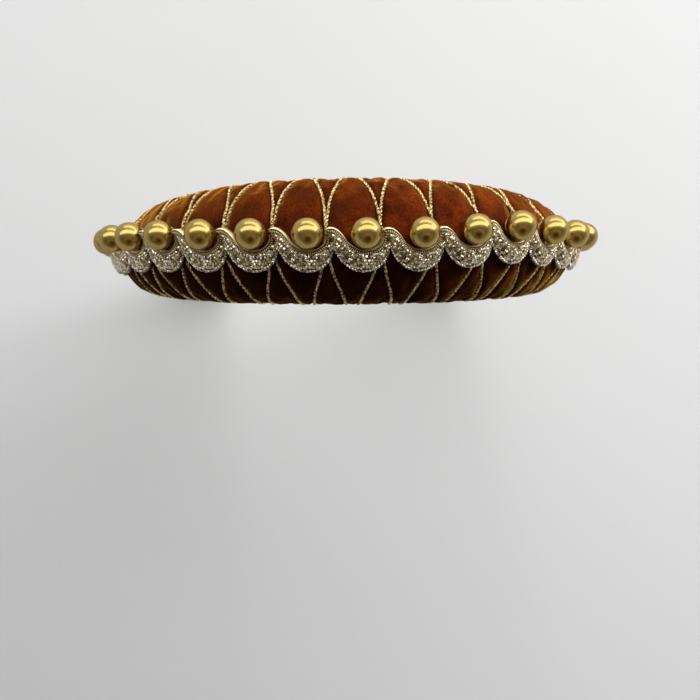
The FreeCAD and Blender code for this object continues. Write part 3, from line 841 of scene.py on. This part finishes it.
def ribs():
    """The row of small cross ribs below the rim wire."""
    parts = []
    run = lengths_along(upper_line)
    for place in np.arange(RIB_MARGINS[0], run[-1] - RIB_MARGINS[1], RIB_PITCH):
        station = np.interp(place, run, np.arange(STATIONS))
        _, width = link_surface(station, 0.0)
        squeeze = min(width / FULL_WIDTH, 1.0)
        centre, axes = surface_frame(station, (RIB_START + RIB_END) / 2 * squeeze)
        half = (RIB_END - RIB_START) / 2 * squeeze
        radii = np.array([RIB_HALF_WIDTH, half, RIB_HEIGHT])
        parts.append(with_polish_and_shade(ball(centre + axes[2] * RIB_LIFT, radii, axes, 6, 8), 1.0))
    return parts


def stone_spots():
    """Stations and distances of the pave stones, row by row."""
    spots, centres = [], []
    stations = np.arange(2.0, STATIONS - 6, 0.8)
    _, widths = link_surface(stations, np.zeros(len(stations)))
    rows = [np.full_like(widths, PAVE_START + FIRST_ROW + row) for row in np.arange(0.0, 6.0, STONE_ROWS)]
    for row in [widths - LAST_ROW, *rows]:
        for station, width, distance in zip(stations, widths, row + ROW_WANDER * np.sin(stations * 0.9)):
            if not PAVE_START + STONE_MARGIN_ABOVE < distance < width - STONE_MARGIN_BELOW:
                continue
            centre, _ = link_surface(station, distance)
            if all(np.linalg.norm(centre - other) > STONE_SPACING for other in centres):
                centres.append(centre)
                spots.append((station, distance))
    return spots, np.array(centres)


def cut_stone(centre, axes, radius, crown):
    """A round stone: table, star and girdle facets."""
    points = np.vstack([circle(8, 0.6 * radius, crown, 0.5), circle(16, radius, 0.02),
                        circle(16, 0.9 * radius, -0.3)])
    faces = [list(range(8)), list(range(24, 40))[::-1]]
    for i in range(8):
        low, high = 8 + 2 * i, 8 + (2 * i + 2) % 16
        faces += [[i, low, low + 1], [i, low + 1, high], [i, high, (i + 1) % 8]]
    faces += grid_faces(2, 16, start=8)
    return points @ axes + centre, faces


def tilted(axes, rng, most):
    """Axes turned a little at random, as hand set stones are."""
    tilt = rng.uniform(-most, most, 2)
    normal = unit(axes[2] + axes[0] * tilt[0] + axes[1] * tilt[1])
    spin = rng.uniform(0, np.pi)
    along = axes[0] * math.cos(spin) + axes[1] * math.sin(spin)
    along = unit(along - normal * (along @ normal))
    return np.stack([along, np.cross(normal, along), normal])


def grain_beads(centres):
    """Small beads of metal between the stones, wherever there is room for one."""
    grains, parts = [], []
    for station in np.arange(3.0, STATIONS - 4, 0.9):
        for distance in np.arange(PAVE_START + 0.1, 8.0, 0.16):
            centre, width = link_surface(station, distance)
            if distance > width - GRAIN_MARGIN:
                break
            clear = np.linalg.norm(centres - centre, axis=1).min()
            if clear > GRAIN_CLEARANCE and all(np.linalg.norm(centre - g) > GRAIN_SPACING for g in grains):
                grains.append(centre)
                middle = centre + np.array([0, 0, GRAIN_RADIUS / 2])
                parts.append(with_polish_and_shade(ball(middle, np.full(3, GRAIN_RADIUS), np.eye(3), 4, 6), 0.7))
    return parts


def pearl_seat():
    """A dished ring under the pearl, and a bar from it to the crescent."""
    ring = np.stack([circle(48, radius, height) for radius, height in SEAT_PROFILE], 1)
    around, sides = ring.shape[:2]
    faces = grid_faces(around + 1, sides)
    faces = [[corner % (around * sides) for corner in face] for face in faces]
    bar = np.array([[0.0, place, BAR_RADIUS] for place in np.linspace(BAR_START, BAR_END, 12)])
    outward = np.tile([0, 0, 1.0], (len(bar), 1))
    # the seat and the bar under the pearl are darkened with painted shadow
    return [with_polish_and_shade((ring.reshape(-1, 3), faces), 0.2), with_polish_and_shade(sweep(bar, outward, BAR_RADIUS, 10), 0.0)]


def link_meshes():
    """Mesh data of the casting with its seat, and of the stones, shared by every link."""
    rng = np.random.default_rng(7)
    spots, centres = stone_spots()
    stones = []
    for station, distance in spots:
        centre, axes = surface_frame(station, distance)
        turned = tilted(axes, rng, STONE_TILT)
        stones.append(cut_stone(centre + axes[2] * STONE_LIFT, turned, STONE_RADIUS, STONE_CROWN))
    casting = [link_casting(), *ribs(), *grain_beads(centres), *pearl_seat()]
    polish_and_shade = np.concatenate([part[2] for part in casting])
    return (*merged([part[:2] for part in casting]), polish_and_shade), merged(stones)


casting_data, stone_data = link_meshes()


def link_matrix(link):
    """Place of a link on the roll, as in the part."""
    length = place_of_link(np.array(float(link)))
    point, tangent, normal = curve_frame(length)
    half_out, half_tall = half_sizes(length)
    height = float(trim_height(link))
    seat = max(-FURTHEST_SEAT, min(FURTHEST_SEAT, (height - CRADLE_RADIUS) / half_tall))
    lean = math.atan(half_out / half_tall * math.tan(math.asin(seat)))
    climb = float(trim_height(link + 0.5) - trim_height(link - 0.5)) / LINK_PITCH
    axes = Matrix((tangent, (0, 1, 0), normal)).transposed()
    turned = (Matrix.Rotation(-lean, 3, Vector(tangent))
              @ Matrix.Rotation(math.atan(climb), 3, Vector(normal)) @ axes)
    centre = Vector(point + normal * (ROLL_STANDOFF + roll_thickness(length) + PEARL_STANDOFF))
    centre.y += height
    foot = centre + turned @ Vector((0, 0, -PEARL_RADIUS - GAP))
    return Matrix.Translation(foot * MM) @ turned.to_4x4()


def pearl_data(cells=28):
    """A round bead without poles: a cube's six grids drawn out to a ball."""
    steps = np.tan(np.linspace(-np.pi / 4, np.pi / 4, cells + 1))
    u, v = np.meshgrid(steps, steps, indexing="ij")
    sheets = []
    for axis in range(3):
        for side in (1.0, -1.0):
            cube = np.stack([np.full_like(u, side), u * side, v], -1)
            sheets.append(np.roll(cube, axis, -1).reshape(-1, 3))
    points = np.vstack(sheets)
    points /= np.linalg.norm(points, axis=1)[:, None]
    faces = []
    for number in range(6):
        faces += grid_faces(cells + 1, cells + 1, closed=False, start=number * (cells + 1) ** 2)
    _, first, same = np.unique(points.round(6), axis=0, return_index=True, return_inverse=True)
    faces = [[int(same.ravel()[i]) for i in face] for face in faces]
    return points[first] * PEARL_RADIUS + np.array([0, 0, PEARL_RADIUS + GAP]), faces


LINKS = range(-HALF_LINKS, HALF_LINKS + 1)
STITCH_LOOPS, STITCH_FIRST, STITCH_STEP, THREAD_RADIUS = 4, -4.6, 0.55, 0.2


def build_trim():
    """A casting, its stones and its pearl at each link; all links share three meshes."""
    patterns = {}
    for kind, data, smooth, look, slot in (("link", casting_data, True, gold, "gold_metal"),
                                           ("stones", stone_data, False, crystal, "pave_stone"),
                                           ("pearl", pearl_data(), True, pearl_gold, "pearl")):
        made = mesh_object(kind + "_pattern", data[0], data[1], smooth)
        if kind == "link":
            paint(made, "polish_and_shade", data[2])
        made.data.materials.append(look)
        patterns[kind] = made.data, slot
        bpy.data.objects.remove(made)
    for number, link in enumerate(LINKS, start=1):
        matrix = link_matrix(link)
        for kind, (mesh, slot) in patterns.items():
            node = "%s_%02d" % (kind, number)
            made = place_object(node + "_look", mesh)
            made.matrix_world = matrix
            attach(made, "root")
            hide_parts(node)


build_trim()


def build_stitches():
    """Loops of thread that sew each link's bar to the velvet."""
    parts = []
    for link in LINKS:
        matrix = np.array(link_matrix(link))
        rotation, foot = matrix[:3, :3], matrix[:3, 3] / MM
        for loop in range(STITCH_LOOPS):
            turn = np.linspace(-0.75 * np.pi, 0.75 * np.pi, 20)
            reach = np.abs(turn) / np.pi
            across = 0.72 * np.sin(turn) * (1 + 0.4 * reach ** 2)
            height = 0.45 + 0.75 * np.cos(turn) - 1.1 * np.maximum(reach - 0.45, 0)
            place = np.full_like(turn, STITCH_FIRST - STITCH_STEP * loop)
            path = np.stack([across, place, height], 1) @ rotation.T + foot
            parts.append(sweep(path, np.tile(rotation[:, 1], (len(path), 1)), THREAD_RADIUS, 6))
    made = mesh_object("stitch_loops", *merged(parts))
    dress(made, "thread", thread_brown, "hand_stitches")


build_stitches()


# -------------------- lining and end covers
GROSGRAIN_PITCH, GROSGRAIN_RISE = 1.15, 0.07
# across the ribbon and out from the head, with its thicker woven edges
LINING_SECTION = [(-7.0, 0.25), (-6.75, 0.06), (-6.1, 0.0), (0.0, 0.0), (6.1, 0.0), (6.75, 0.06),
                  (7.0, 0.25), (7.0, 0.95), (0.0, 1.15), (-7.0, 0.95)]
COVER_AROUND = 96
HEM_MIDDLE, HEM_SEAM = 1.6, 3.9


def build_lining():
    """Grosgrain ribbon: ribs across it and a woven edge on each side."""
    half = HALF_LENGTH - LINING_END_MARGIN
    lengths = np.linspace(-half, half, 1600)
    point, _, normal = curve_frame(lengths)
    wave = np.cos(2 * np.pi * lengths / GROSGRAIN_PITCH)
    rows = []
    for across, out in LINING_SECTION:
        height = out + (GROSGRAIN_RISE * (1 + wave) if out < 0.3 else 0.0)
        edge = 0.12 * wave if abs(across) > 6.9 else 0.0
        row = point + normal * np.broadcast_to(height, len(lengths))[:, None]
        row[:, 1] += across + (edge - 0.1) * np.sign(across)
        rows.append(row)
    made = tube_object("lining_grosgrain", np.stack(rows, 1))
    dress(made, "lining", ribbon_brown, "lining_ribbon")


def build_tip_cover(name, side):
    """A fabric pocket over one end, with a turned hem and small gathers at its nose."""
    mouth = OPEN_LENGTH
    angles = np.linspace(0, 2 * np.pi, COVER_AROUND, endpoint=False)
    rings = []
    lift = GAP + TIP_COVER_WALL
    for place in np.linspace(mouth, HALF_LENGTH, 50):
        into = place - mouth
        hem = 0.45 * math.exp(-((into - HEM_MIDDLE) / 1.5) ** 4)
        seam = 0.35 * bell(into - HEM_SEAM, 0.45)
        pull = 0.18 * np.cos(14 * angles) * bell(into - HEM_SEAM, 1.6)
        rings.append(roll_point(side * place, angles, lift + hem - seam + pull))
    for fraction in np.sin(np.linspace(0.12, 0.97, 12) * np.pi / 2):
        scale = math.sqrt(1 - fraction ** 2)
        place = side * (HALF_LENGTH + TIP_COVER_NOSE * fraction)
        gather = 0.3 * np.cos(11 * angles) * fraction ** 2
        rings.append(roll_point(place, angles, lift + gather, scale))
    inner = roll_point(side * (mouth + 0.3), angles, 0.35)
    made = tube_object(name + "_look", np.stack([inner] + rings))
    dress(made, "end_cover", cover_brown, name)


build_lining()
build_tip_cover("tip_cover_left", -1)
build_tip_cover("tip_cover_right", 1)


# -------------------- stage, light and camera
def build_floor():
    """A pale floor that runs into the backdrop's grey far from the object."""
    level, size = CAD_BOX[0][2] / MM, 6000.0
    corners = [(-size, -size, level), (size, -size, level), (size, size, level), (-size, size, level)]
    floor = mesh_object("floor", corners, [[0, 1, 2, 3]], False)
    look = Look("pale_floor", (0.8, 0.8, 0.8), 0.9)
    pale = look.ramp(look.noise(2.2, 2.0), [(0.3, (0.81, 0.815, 0.81)), (0.7, (0.85, 0.855, 0.85))])
    shown = look.shown_rays()
    look.colour(look.mix(shown, (0.12, 0.12, 0.12), pale))
    away = look.vector("LENGTH", look.place, result="Value")
    far = look.add("ShaderNodeMapRange", Value=away, From_Min=0.4, From_Max=1.8).outputs["Result"]
    backdrop = look.add("ShaderNodeEmission", Color=(0.52, 0.52, 0.52, 1.0)).outputs["Emission"]
    surface = look.blend(look.maths("MULTIPLY", far, shown), look.shader.outputs["BSDF"], backdrop)
    look.links.new(surface, look.nodes["Material Output"].inputs["Surface"])
    floor.data.materials.append(look.material)


def world_shade(graph, height, forward, front, back):
    """Grey by height above the horizon, for the -Y side and the +Y side of the room."""
    front, back = (graph.ramp(height, [(place, (grey,) * 3) for place, grey in stops])
                   for stops in (front, back))
    return graph.add("ShaderNodeBackground", Color=graph.mix(forward, front, back)).outputs["Background"]


def build_world():
    """A dim room for the light, and a paler one for the rays that show it."""
    world = bpy.data.worlds.new("studio")
    bpy.context.scene.world = world
    graph = Graph(world)
    place = graph.nodes.new("ShaderNodeTexCoord").outputs["Generated"]
    way = graph.add("ShaderNodeSeparateXYZ", Vector=place).outputs
    forward = graph.add("ShaderNodeMapRange", Value=way["Y"], From_Min=-0.3, From_Max=0.5).outputs["Result"]
    shown = world_shade(graph, way["Z"], forward, ((0.05, 0.42), (0.45, 0.13)), ((0.1, 0.68), (0.35, 0.3)))
    ambient = world_shade(graph, way["Z"], forward, ((0.2, 0.02), (0.6, 0.05)), ((0.2, 0.3), (0.6, 0.15)))
    surface = graph.blend(graph.shown_rays(), ambient, shown)
    graph.links.new(surface, graph.nodes["World Output"].inputs["Surface"])


LAMP_TARGET = Vector((0.0, 0.0, 0.1))


def add_softbox(name, direction, distance, width, depth, radiance):
    """A rectangular lamp that faces the crown; radiance 1 looks white in a mirror."""
    lamp = bpy.data.lights.new(name, "AREA")
    lamp.shape = "RECTANGLE"
    lamp.size, lamp.size_y = width, depth
    lamp.energy = radiance * math.pi * width * depth
    made = place_object(name, lamp)
    made.visible_camera = False
    direction = Vector(direction).normalized()
    across = Vector((0, 0, 1)).cross(direction).normalized()
    made.matrix_world = (Matrix.Translation(LAMP_TARGET + direction * distance)
                         @ Matrix((across, direction.cross(across), direction)).transposed().to_4x4())
    return made


def build_lamps():
    """One softbox that only mirrors show, two fills that only matt surfaces show, and three of both."""
    lean = math.radians(40)
    key = add_softbox("key_softbox", (0.0, math.sin(lean), math.cos(lean)), 1.2, 5.0, 0.66, 2.2)
    key.visible_diffuse = False
    add_softbox("back_panel", (0.35, 1.0, 0.12), 1.6, 3.5, 0.7, 1.7)
    add_softbox("side_softbox", (1.0, 0.6, 0.4), 1.5, 0.8, 0.8, 0.9)
    add_softbox("low_fill", (-0.4, -1.0, 0.15), 1.6, 0.9, 0.5, 0.12)
    top_fill = add_softbox("top_fill", (0.4, 1.0, 0.6), 1.6, 3.0, 1.3, 1.2)
    brow_fill = add_softbox("brow_fill", (0.6, 1.0, 0.13), 2.6, 4.4, 1.95, 10.0)
    top_fill.visible_glossy = brow_fill.visible_glossy = False


def build_flag():
    """A brown card on the face side, dark in its middle, which only reflections show."""
    centre = Vector((0.04, -0.62, 0.72))
    radius = 1.0
    brown = (0.19, 0.125, 0.06)
    axes = Matrix.Rotation(math.radians(46), 3, "X")
    rim = [tuple((centre + axes @ Vector(spoke)) / MM) for spoke in circle(40, radius)]
    flag = mesh_object("flag", rim, [list(range(len(rim)))], False)
    look = Look("brown_card", brown, 0.9)
    away = look.vector("DISTANCE", look.place, centre, result="Value")
    look.colour(look.ramp(away, [(0.17, (0.014, 0.005, 0.001)), (0.55, brown)]))
    fade = look.add("ShaderNodeMapRange", Value=away, From_Min=0.6, From_Max=radius, To_Min=1.0, To_Max=0.0)
    look.links.new(fade.outputs["Result"], look.shader.inputs["Alpha"])
    flag.data.materials.append(look.material)
    flag.visible_camera = flag.visible_diffuse = flag.visible_shadow = False


def build_camera():
    """The camera looks down on the crown, a little from the face side."""
    camera = place_object("camera", bpy.data.cameras.new("camera"))
    camera.data.sensor_width = 36.0
    camera.data.lens = 48.86
    camera.data.clip_start, camera.data.clip_end = 0.01, 50.0
    yaw, pitch, roll = (math.radians(a) for a in (4.20, 2.23, -0.67))
    forward = Vector((math.sin(yaw) * math.cos(pitch), -math.sin(pitch), -math.cos(yaw) * math.cos(pitch)))
    level = forward.cross(Vector((0, 1, 0))).normalized()
    upright = level.cross(forward)
    right = math.cos(roll) * level + math.sin(roll) * upright
    up = -math.sin(roll) * level + math.cos(roll) * upright
    place = Matrix((right, up, -forward)).transposed().to_4x4()
    place.translation = Vector((-0.0326, -0.0286, 0.4758))
    camera.matrix_world = place
    bpy.context.scene.camera = camera


build_floor()
build_world()
build_lamps()
build_flag()
build_camera()
bpy.context.scene.view_settings.view_transform = "Standard"
